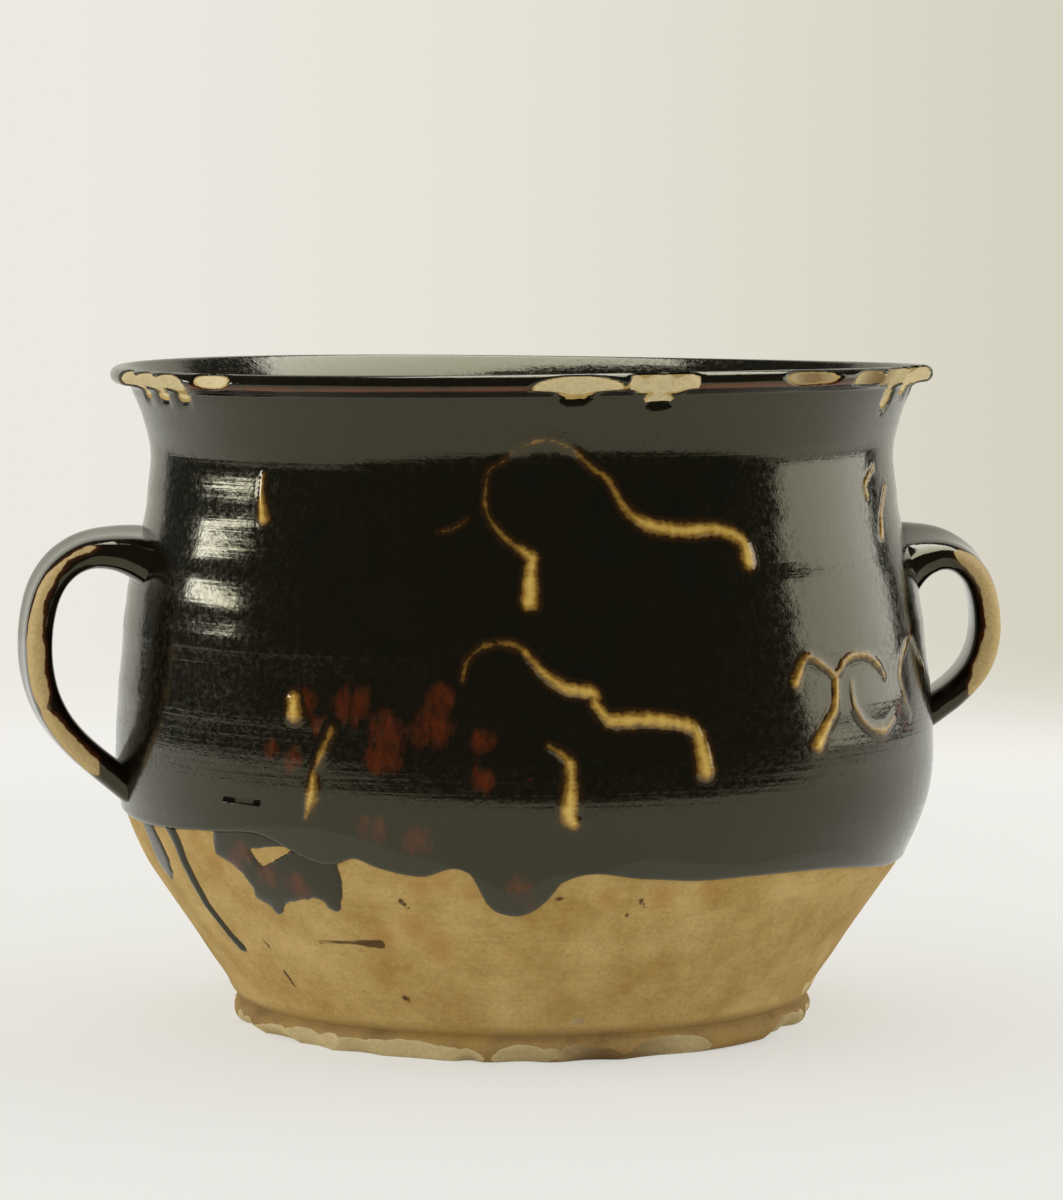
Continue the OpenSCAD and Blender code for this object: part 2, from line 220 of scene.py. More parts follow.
def near_line(az, z, line, mm_per_degree=1.76):
    """Signed distance in mm from places on the wall to a line of points [azimuth, height, width], below
    zero within its width, and the share of the line's length at the nearest point. Azimuths are taken
    within half a turn of the line's middle, so a line may lie past 180 degrees."""
    middle = np.mean([point[0] for point in line])
    x = (az - middle + 180) % 360 - 180 + middle
    best = np.full(np.shape(az), 1e3)
    share = np.zeros(np.shape(az))
    for n in range(len(line) - 1):
        (a0, z0, w0), (a1, z1, w1) = line[n][:3], line[n + 1][:3]
        dx, dz = (a1 - a0) * mm_per_degree, z1 - z0
        px, pz = (x - a0) * mm_per_degree, z - z0
        t = np.clip((px * dx + pz * dz) / max(dx * dx + dz * dz, 1e-9), 0, 1)
        gap = np.hypot(px - t * dx, pz - t * dz) - (w0 + t * (w1 - w0)) / 2
        share = np.where(gap < best, (n + t) / (len(line) - 1), share)
        best = np.minimum(best, gap)
    return best, share


def linear(colour):
    """Linear colour with alpha from an sRGB hex value."""
    c = np.array([int(colour[i:i + 2], 16) for i in (1, 3, 5)]) / 255
    c = np.where(c <= 0.04045, c / 12.92, ((c + 0.055) / 1.055) ** 2.4)
    return (*c, 1.0)


def add(material, kind, inputs, **settings):
    """Adds a shader node with its settings, sets or links its inputs, and gives its outputs."""
    new = material.node_tree.nodes.new("ShaderNode" + kind)
    for key, value in settings.items():
        setattr(new, key, value)
    for key, value in inputs.items():
        if isinstance(value, bpy.types.NodeSocket):
            material.node_tree.links.new(value, new.inputs[key])
        else:
            new.inputs[key].default_value = value
    return new.outputs


def new_material(name):
    material = bpy.data.materials.new(name)
    material.use_nodes = True
    material.node_tree.nodes.clear()
    return material


def finish_material(material, shader):
    add(material, "OutputMaterial", {"Surface": shader})


# Fired buff earthenware, wiped and turned: matt and grainy, pale buff with fine iron specks, faint lines
# from turning, an orange flash under the coat's edge, and paler, rougher clay where flakes have come off
earthenware = new_material("bare buff earthenware")
place = add(earthenware, "TexCoord", {})["Object"]
round_pot = add(earthenware, "Mapping", {"Vector": place, "Scale": (30, 30, 1400)})[0]
turning = add(earthenware, "TexNoise", {"Vector": round_pot, "Scale": 1.0, "Detail": 3.0})[0]
patches = add(earthenware, "TexNoise", {"Vector": place, "Scale": 55.0, "Detail": 6.0, "Roughness": 0.65})[0]
grains = add(earthenware, "TexNoise", {"Vector": place, "Scale": 900.0, "Detail": 3.0, "Roughness": 0.7})[0]
iron = add(earthenware, "TexVoronoi", {"Vector": place, "Scale": 420.0})["Distance"]
iron_spot = add(earthenware, "MapRange", {"Value": iron, "From Min": 0.0, "From Max": 0.2,
                                          "To Min": 0.75, "To Max": 0.0}, interpolation_type="SMOOTHSTEP")[0]
soft_patches = add(earthenware, "MapRange", {"Value": patches, "From Min": 0.35, "From Max": 0.68})[0]
clay_tone = add(earthenware, "Mix", {0: soft_patches, 6: linear("#b19150"), 7: linear("#d3b678")},
                data_type="RGBA")[2]
lines = add(earthenware, "MapRange", {"Value": turning, "From Min": 0.45, "From Max": 0.8,
                                      "To Min": 0.0, "To Max": 0.14})[0]
clay_lined = add(earthenware, "Mix", {0: lines, 6: clay_tone, 7: linear("#8f6c3a")}, data_type="RGBA")[2]
grain_tone = add(earthenware, "MapRange", {"Value": grains, "From Min": 0.3, "From Max": 0.7,
                                           "To Min": 0.88, "To Max": 1.1})[0]
clay_grained = add(earthenware, "Mix", {0: 1.0, 6: clay_lined, 7: grain_tone}, data_type="RGBA",
                   blend_type="MULTIPLY")[2]
stain_far = add(earthenware, "Attribute", {}, attribute_name="stain")["Fac"]
stain_here = add(earthenware, "Math", {0: stain_far, 1: patches}, operation="MULTIPLY")[0]
stain_sharp = add(earthenware, "MapRange", {"Value": stain_here, "From Min": 0.15, "From Max": 0.7,
                                            "To Min": 0.0, "To Max": 0.6})[0]
clay_tinted = add(earthenware, "Mix", {0: stain_sharp, 6: clay_grained, 7: linear("#b0702c")},
                  data_type="RGBA")[2]
height_here = add(earthenware, "SeparateXYZ", {0: place})["Z"]
# The clay is darker, in patches, towards the bottom of the foot, below 10.5 mm
foot_part = add(earthenware, "MapRange", {"Value": height_here, "From Min": 0.0105, "From Max": 0.0055,
                                          "To Min": 0.0, "To Max": 0.85}, interpolation_type="SMOOTHSTEP")[0]
foot_darkened = add(earthenware, "Math", {0: foot_part, 1: soft_patches}, operation="MULTIPLY")[0]
clay_stained = add(earthenware, "Mix", {0: foot_darkened, 6: clay_tinted, 7: linear("#6b4f2b")},
                   data_type="RGBA")[2]
mark_far = add(earthenware, "Attribute", {}, attribute_name="mark")["Fac"]
mark_wavy = add(earthenware, "Math", {0: mark_far, 1: patches}, operation="ADD")[0]
mark_here = add(earthenware, "MapRange", {"Value": mark_wavy, "From Min": 0.75, "From Max": 0.35,
                                          "To Min": 0.0, "To Max": 0.9})[0]
clay_marked = add(earthenware, "Mix", {0: mark_here, 6: clay_stained, 7: linear("#4a3015")},
                  data_type="RGBA")[2]
speck_few = add(earthenware, "Math", {0: iron_spot, 1: grains}, operation="MULTIPLY")[0]
clay_specked = add(earthenware, "Mix", {0: speck_few, 6: clay_marked, 7: linear("#6b4520")},
                   data_type="RGBA")[2]
fresh = add(earthenware, "Attribute", {}, attribute_name="fresh")["Fac"]
fresh_here = add(earthenware, "MapRange", {"Value": fresh, "From Min": -0.05, "From Max": 0.12})[0]
# Clay in the flakes is pale, and darker in the flakes at the rim and at the foot on the right front
darker_flakes = add(earthenware, "Attribute", {}, attribute_name="darker_flakes")["Fac"]
fresh_tone = add(earthenware, "Mix", {0: darker_flakes, 6: linear("#ddcb9b"), 7: linear("#8a7046")},
                 data_type="RGBA")[2]
fresh_mottled = add(earthenware, "Mix", {0: 1.0, 6: fresh_tone, 7: grain_tone}, data_type="RGBA",
                    blend_type="MULTIPLY")[2]
clay_colour = add(earthenware, "Mix", {0: fresh_here, 6: clay_specked, 7: fresh_mottled},
                  data_type="RGBA")[2]
clay_height = add(earthenware, "Math", {0: turning, 1: 0.2, 2: grains}, operation="MULTIPLY_ADD")[0]
clay_bump = add(earthenware, "Bump", {"Height": clay_height, "Strength": 0.35, "Distance": 0.0004})[0]
clay_shader = add(earthenware, "BsdfPrincipled", {"Base Color": clay_colour, "Normal": clay_bump,
                                                  "Roughness": 0.82, "IOR": 1.45,
                                                  "Specular IOR Level": 0.3})[0]
finish_material(earthenware, clay_shader)

# Spills and smears on the bare clay: lines of [azimuth, height, width]
clay_marks = [[(-54.4, 28.2, 1.2), (-53.6, 25.6, .8)], [(-41.6, 30, .8), (-35.6, 30.8, .9), (-30.2, 30.9, 2.2)],
              [(-25.3, 42.8, 1.4), (-24.3, 41, .8)], [(-3.1, 43.9, .8), (-2.5, 43.9, .8)],
              [(8.9, 42.8, 1.2), (9.9, 40.8, .6)], [(7.3, 39.2, 1.0), (7.5, 38.8, .8)],
              [(-53.3, 20.1, 1.4), (-52.6, 16.4, 1)], [(-28.9, 16.6, 1.4), (-28, 15.8, 1)]]
rust_stains = [(-30.7, 25, 2.6), (-30.4, 20.5, 2.2), (-28.4, 16, 2), (-26.6, 25, 1.8), (-29.6, 33, 5),
               (-24, 36, 5), (-20.9, 31, 5), (-19, 48, 3.5), (-22, 47, 4), (-15, 45.5, 3), (4, 44, 3),
               (12, 43.5, 4), (20, 44.5, 4), (-60, 53, 4), (-52, 54, 4), (-57, 48, 4)]


def spread(az, z, spots):
    """How near a place is to the nearest spot of [azimuth, height, radius], from 1 in its middle to 0."""
    best = np.zeros(np.shape(az))
    for a, up, radius in spots:
        x = ((az - a + 180) % 360 - 180) * 1.75
        best = np.maximum(best, np.exp(-(x**2 + (z - up) ** 2) / radius**2))
    return best


under_r = np.array([25, 45, 60, 67, 69.5])
underside = np.stack([under_r, np.zeros(5)], axis=1)
foot = ring_part(rest_r, bead_half, bead_out, bead_half, -90, 62, 16)
wall_rows = wall_part(np.concatenate([np.arange(6.8, 62, 0.95), np.arange(62, 161.5, 2.6)]))
body_line = np.concatenate([underside, foot, wall_rows, lip_part(10), inside_part(7.0)])
body_normal = normals_of(body_line)
turn = np.arange(columns) * 360 / columns
az, row_r = np.meshgrid(turn, body_line[:, 0])
row_z = np.repeat(body_line[:, 1], columns).reshape(az.shape)
outside = np.arange(len(body_line)) < len(underside) + len(foot) + len(wall_rows) + 14
lift = waviness(az, row_z) * outside[:, None]
body_r = row_r + body_normal[:, :1] * lift
body_z = row_z + body_normal[:, 1:] * lift
broken = body_r - break_r(az, body_z)
body_r = body_r - np.maximum(broken, 0) * outside[:, None]
body_marks = np.full(az.shape, 9.0)
for line in clay_marks:
    body_marks = np.minimum(body_marks, near_line(az, row_z, line)[0])
body_points = settle(az, body_r, body_z)
poles = np.array([[0, 0, 0], [0, 0, floor_thick / 1000]])
count = len(body_points)
first_row = np.arange(columns)
next_in_row = (first_row + 1) % columns
last_row = count - columns
fan_low = np.stack([np.full(columns, count), next_in_row, first_row], axis=1)
fan_high = np.stack([np.full(columns, count + 1), last_row + first_row, last_row + next_in_row], axis=1)
body_faces = grid_faces(len(body_line), columns, True).tolist() + fan_low.tolist() + fan_high.tolist()
# The flakes at the rim and at the foot on the right front get the darker tone
pot_body = make_piece("pot_body_clay", np.concatenate([body_points, poles]), body_faces, earthenware, {
    "fresh": np.append(np.where(outside[:, None], broken, -1), [-1, -1]),
    "darker_flakes": np.append(spread(az, row_z, [(50, 165, 9), (34.2, 166, 8), (10, 1, 22), (45, 1, 22)]), [0, 0]),
    "stain": np.append(spread(az, row_z, rust_stains), [0, 0]),
    "mark": np.append(body_marks, [9, 9])})
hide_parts("pot_body")
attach(pot_body, "root")

# The coat over the outside: a dark lead glaze over iron-bearing slip, poured and dipped, so it ends in a
# wavy rolled edge that sags at the front and the back. It is thin and red-brown on edges and in patches.
coat_thick = 0.5
edge_az = np.array([-78, -72.6, -66, -60, -54, -47, -33.8, -31.5, -28, -21.7, -16.1, -14.9, -13.9, -13.2,
                    -12, -10.7, -7.3, -5.8, -3.7, -2.8, -1.9, 9, 16.5, 25.7, 39.8, 60.5, 95, 130, 155,
                    162, 168, 175, 190, 230, 260, 282.0])
edge_height = np.array([54.6, 54.7, 55.2, 55.9, 56.5, 57.3, 51.4, 52.9, 51, 49.2, 51, 49.7, 46.2, 43.4,
                        40.9, 39.9, 39.9, 41.3, 45.2, 47.6, 48.5, 48.3, 47.2, 47.3, 46.8, 43.6, 44, 47,
                        48.5, 41.5, 37.5, 47, 51.5, 53.5, 55, 54.6])
ridge_az = np.array([-78, -53.7, -48.7, -42.1, -38.4, -31.7, -28.1, -24.2, -20.1, -17.7, -14.9, -9, -3.6,
                     2.1, 7.6, 16.6, 24.2, 33.8, 40.5, 51.6, 58, 100, 180, 282.0])
ridge_height = np.array([57, 57.6, 59, 60, 60.2, 59, 57.6, 55.2, 53.8, 52.6, 50.6, 46, 50.2, 50.9,
                         53.4, 52.1, 51, 52.4, 51.4, 47.9, 45.6, 48, 54, 57.0])


def edge_at(az):
    """Height of the coat's edge at an azimuth."""
    return through((az + 78) % 360 - 78, edge_az, edge_height)


def coat_height(az, z):
    """Height of the coat over the clay: none below its edge, then a rolled edge, a thick band up to a
    soft ridge, and an even thickness above. Also the distance above the edge and below the ridge."""
    steep = (edge_at(az + 0.25) - edge_at(az - 0.25)) / (0.5 * 1.76)
    above = (z - edge_at(az)) / np.hypot(1, steep)
    below_ridge = through((az + 78) % 360 - 78, ridge_az, ridge_height) - z
    rolled = 1 - np.exp(-np.maximum(above, 0) / 0.4)
    band = 0.42 / (1 + np.exp(np.clip(-below_ridge / 0.45, -30, 30)))
    high = rolled * (coat_thick + band) + np.minimum(above, 0) * 1.4
    return high, above, below_ridge


def on_wall(az, z, high):
    """Points in metres at a height over the clay's outer face, below the hollow of the rim."""
    lean = (outer_r(z + 0.5) - outer_r(z - 0.5))
    size = np.hypot(1, lean)
    up = waviness(az, z) + high
    return settle(az, outer_r(z) + up / size, z - up * lean / size)


coat_dip = 1.1
coat_top = np.concatenate([np.arange(66, 100, 1.8), np.arange(100, 136, 1.1), np.arange(136, 161.5, 1.6)])
edge_rows = np.array([-0.7, 0, .12, .25, .4, .6, .85, 1.15, 1.5, 1.9, 2.4, 3, 3.7, 4.5, 5.5, 6.6, 7.8, 9.2])
coat_lip = lip_part(18)
coat_back = np.concatenate([lip_part(6)[::-1], wall_part(np.arange(160, 66, -8.0))])
rows_low = len(edge_rows)
turn_wide = np.arange(columns) * 360 / columns
edge_here = edge_at(turn_wide)
blend = np.clip(edge_rows / 9.2, 0, 1)[:, None] ** 2
low_z = (edge_here + edge_rows[:, None]) * (1 - blend) + (64.5 + 0 * edge_here) * blend
az = np.tile(turn_wide, (rows_low, 1))
low_high, low_above, low_below = coat_height(az, low_z)
low_points = on_wall(az, low_z, np.maximum(low_high, -0.9))
up_line = np.concatenate([wall_part(coat_top), coat_lip])
up_normal = normals_of(up_line)
az_up, up_r = np.meshgrid(turn_wide, up_line[:, 0])
up_z = np.repeat(up_line[:, 1], columns).reshape(az_up.shape)
up_high, up_above, up_below = coat_height(az_up, up_z)
up_lift = waviness(az_up, up_z) + up_high
coat_r = up_r + up_normal[:, :1] * up_lift
coat_z = up_z + up_normal[:, 1:] * up_lift
over = np.maximum(coat_r - break_r(az_up, coat_z), 0)
up_points = settle(az_up, coat_r - over - np.minimum(over, 0.45), coat_z)
back_normal = normals_of(coat_back[::-1])[::-1]
az_back, back_r = np.meshgrid(turn_wide, coat_back[:, 0])
back_z = np.repeat(coat_back[:, 1], columns).reshape(az_back.shape)
back_r = back_r - back_normal[:, :1] * coat_dip
back_zz = back_z - back_normal[:, 1:] * coat_dip
back_r = np.minimum(back_r, break_r(az_back, back_zz) - 0.8)
back_points = settle(az_back, back_r, back_zz)
back_low = on_wall(np.tile(turn_wide, (2, 1)), np.stack([(edge_here + 64) / 2, edge_here - 0.3]),
                   np.full((2, columns), -coat_dip))
coat_points = np.concatenate([low_points, up_points, back_points, back_low])
coat_rows = len(coat_points) // columns
coat_faces = grid_faces(coat_rows, columns, True)
closing = np.stack([(coat_rows - 1) * columns + first_row, (coat_rows - 1) * columns + next_in_row,
                    next_in_row, first_row], axis=1)
hidden = (coat_rows - len(up_line) - rows_low) * columns


def all_rows(low, up, rest=0.0):
    """Values for the coat's visible rows, followed by one value for its hidden back."""
    return np.concatenate([np.ravel(low), np.ravel(up), np.full(hidden, rest)])


# Dark lead glaze: glossy near-black with an olive cast, breaking to red-brown where it ran thin. Fine
# pitting and a faint orange peel break its reflections up, and its gloss has the warm cast of lead glaze.
rust_in_coat = [(-38.5, 90.4, 6), (-31, 90, 8), (-19.9, 84.9, 8), (-13.3, 82.4, 5), (-39.7, 76, 5),
                (-26.5, 77.2, 7), (-13.3, 73.1, 5), (-28, 60.4, 6), (-22, 58.6, 6), (-43, 78, 4),
                (-18.6, 92, 6), (-26, 84, 8), (-8, 47, 6), (-6.5, 43.5, 5), (54, 84, 4), (57, 80, 4),
                (49, 77.5, 3), (-36, 84, 4), (-7.2, 73.3, 1.2), (150, 80, 8), (-140, 86, 8), (-110, 70, 6)]


def dark_glaze(name, attributes):
    """The dark glaze, with or without the attributes that place its thin and rusty parts."""
    glaze = new_material(name)
    place = add(glaze, "TexCoord", {})["Object"]
    clouds = add(glaze, "TexNoise", {"Vector": place, "Scale": 70.0, "Detail": 5.0, "Roughness": 0.6})[0]
    scuffs = add(glaze, "TexNoise", {"Vector": place, "Scale": 640.0, "Detail": 4.0, "Roughness": 0.8})[0]
    pits = add(glaze, "TexNoise", {"Vector": place, "Scale": 1300.0, "Detail": 2.0})[0]
    peel = add(glaze, "TexNoise", {"Vector": place, "Scale": 260.0, "Detail": 2.0})[0]
    ring_place = add(glaze, "Mapping", {"Vector": place, "Scale": (8, 8, 620)})[0]
    streaks = add(glaze, "TexNoise", {"Vector": ring_place, "Scale": 1.0, "Detail": 3.0})[0]
    colour = add(glaze, "Mix", {0: clouds, 6: linear("#0a0906"), 7: linear("#171209")}, data_type="RGBA")[2]
    if attributes:
        rust = add(glaze, "Attribute", {}, attribute_name="rust")["Fac"]
        long_place = add(glaze, "Mapping", {"Vector": place, "Scale": (330, 330, 130)})[0]
        flecks = add(glaze, "TexNoise", {"Vector": long_place, "Scale": 1.0, "Detail": 5.0,
                                         "Roughness": 0.75})[0]
        rust_here = add(glaze, "Math", {0: rust, 1: flecks}, operation="MULTIPLY")[0]
        rust_part = add(glaze, "MapRange", {"Value": rust_here, "From Min": 0.3, "From Max": 0.6,
                                            "To Min": 0.0, "To Max": 0.75})[0]
        colour = add(glaze, "Mix", {0: rust_part, 6: colour, 7: linear("#67270a")}, data_type="RGBA")[2]
        # Painted reflection: a grey painted into the thick band below the ridge, down to the coat's edge, and
        # on the rounded run, stands in for the pale floor mirrored in the glaze
        band = add(glaze, "Attribute", {}, attribute_name="band")["Fac"]
        floor_reflection_part = add(glaze, "MapRange", {"Value": band, "From Min": -0.3, "From Max": 0.5,
                                            "To Min": 0.0, "To Max": 0.75})[0]
        colour = add(glaze, "Mix", {0: floor_reflection_part, 6: colour, 7: linear("#2a2a26")}, data_type="RGBA")[2]
        edge = add(glaze, "Attribute", {}, attribute_name="edge")["Fac"]
        edge_wavy = add(glaze, "Math", {0: edge, 1: clouds}, operation="ADD")[0]
        edge_part = add(glaze, "MapRange", {"Value": edge_wavy, "From Min": 1.0, "From Max": 0.55,
                                            "To Min": 0.0, "To Max": 0.9})[0]
        colour = add(glaze, "Mix", {0: edge_part, 6: colour, 7: linear("#55300f")}, data_type="RGBA")[2]
        arris = add(glaze, "Attribute", {}, attribute_name="arris")["Fac"]
        arris_wavy = add(glaze, "Math", {0: arris, 1: clouds}, operation="MULTIPLY")[0]
        arris_part = add(glaze, "MapRange", {"Value": arris_wavy, "From Min": 0.2, "From Max": 0.5,
                                             "To Min": 0.0, "To Max": 0.9})[0]
        colour = add(glaze, "Mix", {0: arris_part, 6: colour, 7: linear("#5c2410")}, data_type="RGBA")[2]
    small = add(glaze, "Math", {0: pits, 1: 0.35, 2: peel}, operation="MULTIPLY_ADD")[0]
    height = add(glaze, "Math", {0: streaks, 1: 0.8, 2: small}, operation="MULTIPLY_ADD")[0]
    bump = add(glaze, "Bump", {"Height": height, "Strength": 0.32, "Distance": 0.0002})[0]
    rough = add(glaze, "MapRange", {"Value": scuffs, "From Min": 0.4, "From Max": 0.72,
                                    "To Min": 0.06, "To Max": 0.3})[0]
    shader = add(glaze, "BsdfPrincipled", {"Base Color": colour, "Roughness": rough, "IOR": 1.6,
                                           "Specular Tint": (1.0, 0.97, 0.66, 1.0), "Normal": bump})[0]
    finish_material(glaze, shader)
    return glaze


coat_glaze = dark_glaze("dark lead glaze over the outside", True)
arris_z = 164.6
up_arris = np.exp(-((coat_z - arris_z) / 0.75) ** 2) * (coat_r > 103)
# The band attribute places the painted grey reflection of the floor in the thick band below the ridge
outer_coat = make_piece("outer_coat_glaze", coat_points, coat_faces.tolist() + closing.tolist(), coat_glaze, {
    "edge": all_rows(low_above, up_above, 9), "band": all_rows(low_below, up_below, -9),
    "rust": all_rows(spread(az, low_z, rust_in_coat), spread(az_up, up_z, rust_in_coat)),
    "arris": all_rows(0 * low_z, up_arris)})
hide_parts("outer_coat", "front_droop", "back_droop")
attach(outer_coat, "root")

# The coat inside: the same dark glaze, poured in and out again, over the whole inner face up to the crest
inner_line = np.concatenate([ring_part(lip_r, lip_z, lip_bead, lip_bead, 88, 95, 2), inside_part(4.0)])
inner_normal = normals_of(inner_line)
inner_columns = 320
inner_turn = np.arange(inner_columns) * 360 / inner_columns


def inner_sheet(high):
    az, r = np.meshgrid(inner_turn, inner_line[:, 0])
    z = np.repeat(inner_line[:, 1], inner_columns).reshape(az.shape)
    r = r + inner_normal[:, :1] * high
    z = z + inner_normal[:, 1:] * high
    over = np.maximum(r - break_r(az, z), 0) * (z > 160)
    return settle(az, r - over - np.minimum(over, 0.45), z)


inner_front = inner_sheet(coat_thick + 0.02)
inner_back = inner_sheet(-0.6)
inner_count = len(inner_front)
front_faces = grid_faces(len(inner_line), inner_columns, True)
ring = np.arange(inner_columns)
ring_next = (ring + 1) % inner_columns
low_ring = inner_count - inner_columns
cap = np.stack([np.full(inner_columns, 2 * inner_count), low_ring + ring, low_ring + ring_next], axis=1)
back_cap = np.stack([np.full(inner_columns, 2 * inner_count + 1), inner_count + low_ring + ring_next,
                     inner_count + low_ring + ring], axis=1)
crest_band = np.stack([ring_next, ring, inner_count + ring, inner_count + ring_next], axis=1)
inner_faces = (front_faces.tolist() + (front_faces[:, ::-1] + inner_count).tolist() + cap.tolist()
               + back_cap.tolist() + crest_band.tolist())
inner_poles = np.array([[0, 0, floor_thick + coat_thick], [0, 0, floor_thick - 0.6]]) / 1000
inner_glaze = dark_glaze("dark lead glaze inside", False)
inner_coat = make_piece("inner_coat_glaze", np.concatenate([inner_front, inner_back, inner_poles]),
                        inner_faces, inner_glaze)
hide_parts("inner_coat")
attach(inner_coat, "root")

# Runs of the coat on the bare clay: one thin run below the left handle, and a broad splash beside it that
# was wiped thin, with a bare window in it. Both start under the coat's edge.


def laid_on(name, az_range, z_range, step, height, material, tuck=0.45, back=1.2):
    """A thin layer on the wall: a grid over azimuth and height, lifted over the clay by height(az, z).
    Squares that lie deeper than the tuck are left out, and a sheet behind closes the layer."""
    az_count = int(np.ceil((az_range[1] - az_range[0]) * 1.76 / step)) + 1
    z_count = int(np.ceil((z_range[1] - z_range[0]) / step)) + 1
    az, z = np.meshgrid(np.linspace(*az_range, az_count), np.linspace(*z_range, z_count))
    high, values = height(az, z)
    squares = grid_faces(z_count, az_count, False)
    squares = squares[np.ravel(high)[squares].max(axis=1) > -tuck]
    used, squares = np.unique(squares, return_inverse=True)
    squares = squares.reshape(-1, 4)
    total = len(used)
    edges = np.stack([squares, np.roll(squares, -1, axis=1)], axis=-1).reshape(-1, 2)
    forward = edges[:, 0] * total + edges[:, 1]
    alone = edges[~np.isin(forward, edges[:, 1] * total + edges[:, 0])]
    sides = np.stack([alone[:, 1], alone[:, 0], alone[:, 0] + total, alone[:, 1] + total], axis=1)
    front = on_wall(az, z, np.maximum(high, -0.9))[used]
    behind = on_wall(az, z, np.full(z.shape, -back))[used]
    faces = squares.tolist() + (squares[:, ::-1] + total).tolist() + sides.tolist()
    doubled = {key: np.tile(np.ravel(value)[used], 2) for key, value in values.items()}
    piece = make_piece(name, np.concatenate([front, behind]), faces, material, doubled)
    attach(piece, "root")
    return piece


def smooth_line(points, steps=5):
    """A smooth line through points of any size: each stretch is a cubic set by its four nearest points."""
    p = np.asarray(points, float)
    p = np.concatenate([p[:1], p, p[-1:]])
    a, b, c, d = (p[k:len(p) - 3 + k, None] for k in range(4))
    t = (np.arange(steps) / steps)[None, :, None]
    line = 0.5 * (2 * b + (c - a) * t + (2 * a - 5 * b + 4 * c - d) * t**2 + (3 * b - a - 3 * c + d) * t**3)
    return np.concatenate([line.reshape(-1, p.shape[1]), p[-1:]])


def in_outline(az, z, corners):
    """Signed distance in mm from places on the wall to a closed outline of [azimuth, height] corners,
    below zero inside it."""
    x = az * 1.76
    far = np.full(np.shape(az), 1e3)
    inside = np.zeros(np.shape(az), bool)
    for (a0, z0), (a1, z1) in zip(corners, corners[1:] + corners[:1]):
        x0, x1 = a0 * 1.76, a1 * 1.76
        dx, dz = x1 - x0, z1 - z0
        t = np.clip(((x - x0) * dx + (z - z0) * dz) / (dx * dx + dz * dz), 0, 1)
        far = np.minimum(far, np.hypot(x - x0 - t * dx, z - z0 - t * dz))
        crosses = (z0 > z) != (z1 > z)
        inside ^= crosses & (x < x0 + dx * (z - z0) / (dz if dz else 1e-9))
    return np.where(inside, -far, far)


run_line = smooth_line([(-66.5, 57, 4.2), (-65.2, 52, 3.6), (-65.2, 47.6, 3.3), (-64.9, 43.8, 3.2),
                        (-64.9, 39.6, 3), (-65.2, 36.1, 2.7), (-64.3, 31.8, 2.5), (-63.4, 28, 2.5),
                        (-62.3, 25.3, 3.1)])
run_high = 0.9


def run_height(az, z):
    """A run stands up in a rounded section over its width."""
    gap, _ = near_line(az, z, run_line, 1.6)
    inside = np.clip(-gap / 1.4, 0, 1)
    high = np.where(gap < 0, run_high * (1 - (1 - inside) ** 2), -0.9 * gap)
    # A band of 0.3 gives the run the painted grey reflection of the floor
    return high - 0.8 * np.clip(z - edge_at(az) - 0.3, 0, 2), {"edge": -gap * 2.2, "band": 0.3 + 0 * gap}


run_glaze = dark_glaze("dark lead glaze in runs", True)
left_run = laid_on("left_run_glaze", (-70, -59), (22, 59), 0.4, run_height, run_glaze)
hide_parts("left_run")

splash = [(-55.1, 57), (-56, 50.6), (-53.7, 49), (-51.5, 46.6), (-50.2, 42.9), (-50.7, 40.5), (-48.5, 38.7),
          (-47.5, 36.3), (-46, 37.6), (-44.8, 39.9), (-41.8, 41.1), (-39.2, 41.9), (-37.6, 41.2),
          (-37.2, 39.4), (-36.2, 38.9), (-35.3, 39.2), (-34.3, 42.9), (-33.7, 46.6), (-33.9, 49.6),
          (-33.9, 51.4), (-31, 53.5), (-35, 55), (-41, 57.5), (-50, 58.5)]
window = [(-48.3, 53.1), (-44, 54.4), (-40, 54.6), (-43.1, 51.9), (-46.8, 48.8), (-47.7, 51)]
tongue = [(-77, 58), (-76, 51.2), (-76.4, 47.5), (-76.1, 43.7), (-74, 40), (-71.8, 42.5), (-70.5, 46.7),
          (-71, 50.5), (-72.2, 55), (-72, 59)]


def splash_height(az, z):
    """A thin film inside the splash's outline or the tongue's, and none in the window."""
    gap = np.maximum(in_outline(az, z, splash), -in_outline(az, z, window))
    gap = np.minimum(gap, in_outline(az, z, tongue)) + 0.25 * uneven(az * 4, z * 4, 6, 31)
    high = np.where(gap < 0, 0.42 * (1 - np.exp(gap / 0.5)), -0.84 * gap)
    thin = spread(az, z, [(-46, 47, 6), (-41, 45, 6), (-50, 52, 5), (-52, 49, 5)])
    high = high - 0.8 * np.clip(z - edge_at(az) - 0.2, 0, 2)
    return high, {"edge": -gap * 1.6, "rust": thin, "band": 0 * gap - 9, "arris": 0 * gap}


left_splash = laid_on("left_splash_glaze", (-79, -29), (34, 62), 0.5, splash_height, run_glaze)
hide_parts("left_splash")

# The two handles: pulled straps of the same clay, luted on at the neck and the belly and glazed with the
# pot. Each is spread at its roots, dished along its outer face, and worn to the buff clay on its edges.


def cubic(p, t):
    """Point of a cubic curve with four control points."""
    p = [np.asarray(q, float)[:, None] for q in p]
    return ((1 - t) ** 3 * p[0] + 3 * (1 - t) ** 2 * t * p[1] + 3 * (1 - t) * t**2 * p[2] + t**3 * p[3]).T


